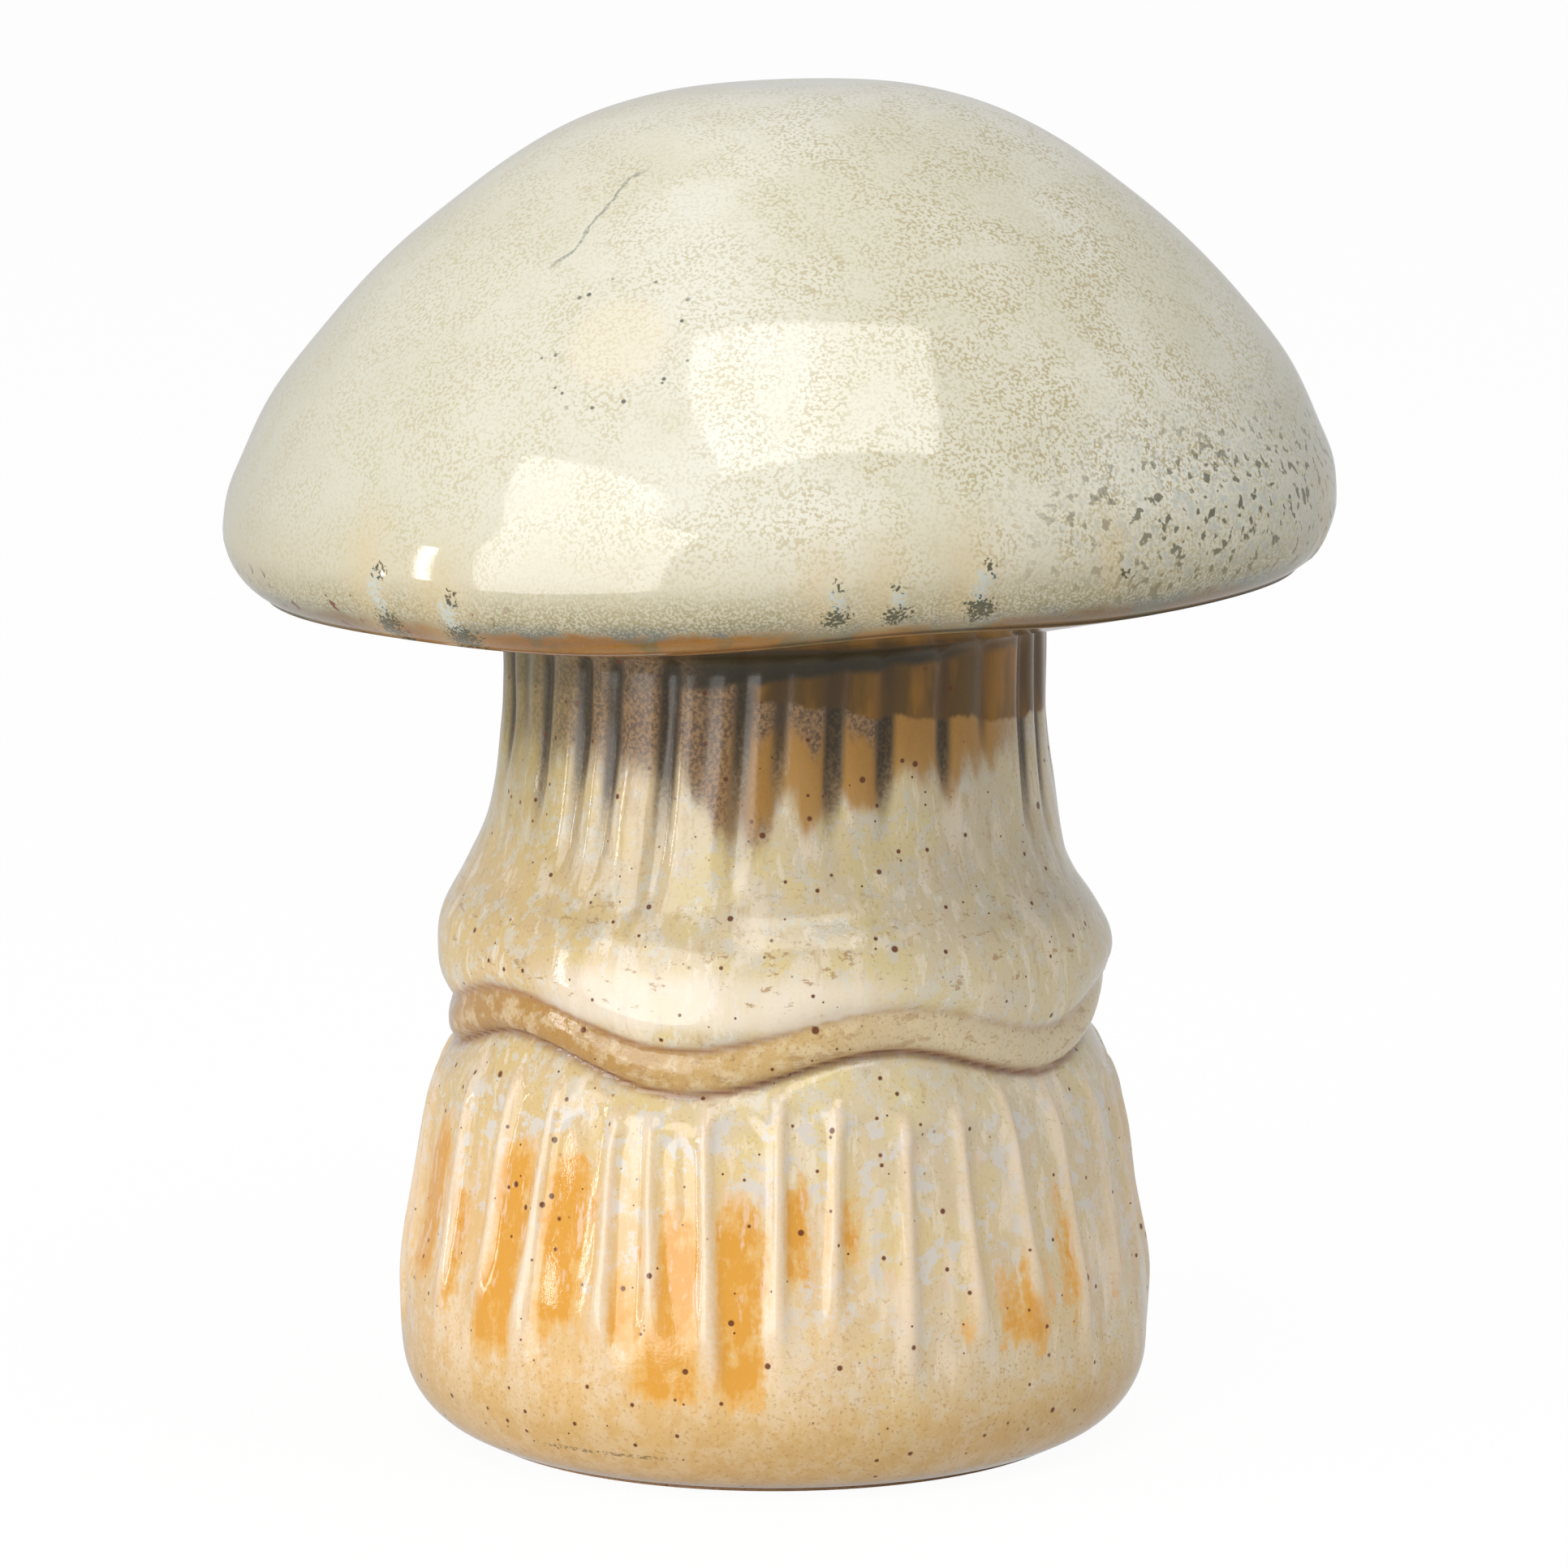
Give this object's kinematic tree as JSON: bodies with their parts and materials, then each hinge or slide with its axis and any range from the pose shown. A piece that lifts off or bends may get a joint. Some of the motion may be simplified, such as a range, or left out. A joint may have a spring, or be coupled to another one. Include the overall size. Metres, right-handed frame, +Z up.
{
  "type": "mushroom ornament",
  "caption": "Free-standing glazed ceramic mushroom with a leaning domed cap on a short fluted stem that has a wavy ring and a grooved neck.",
  "frame": {"origin": "centre of the dry foot's flat underside", "axes": "+Z up the stem, -Y towards the pictured front, +X to the right in the picture"},
  "size_m": [0.0994, 0.0995, 0.1208],
  "materials": {
    "stoneware_body": "unglazed fired stoneware, matt, showing only at the foot",
    "stoneware_coil": "unglazed fired stoneware, matt, under the glaze",
    "fired_slip": "matt fired slip in the joint, hidden",
    "cap_glaze": "glossy mottled cream to grey-green glaze with fine flecks, amber along the rim",
    "stem_glaze": "glossy cream and amber glaze, darker and grooved at the neck, with rust specks"
  },
  "bodies": {
    "root": {"cap_casting": "stoneware_body", "stem_casting": "stoneware_body", "ring_coil": "stoneware_coil", "luting_slip": "fired_slip", "neck_coil": "stoneware_coil", "cap_glaze": "cap_glaze", "stem_glaze": "stem_glaze"}
  },
  "joints": []
}
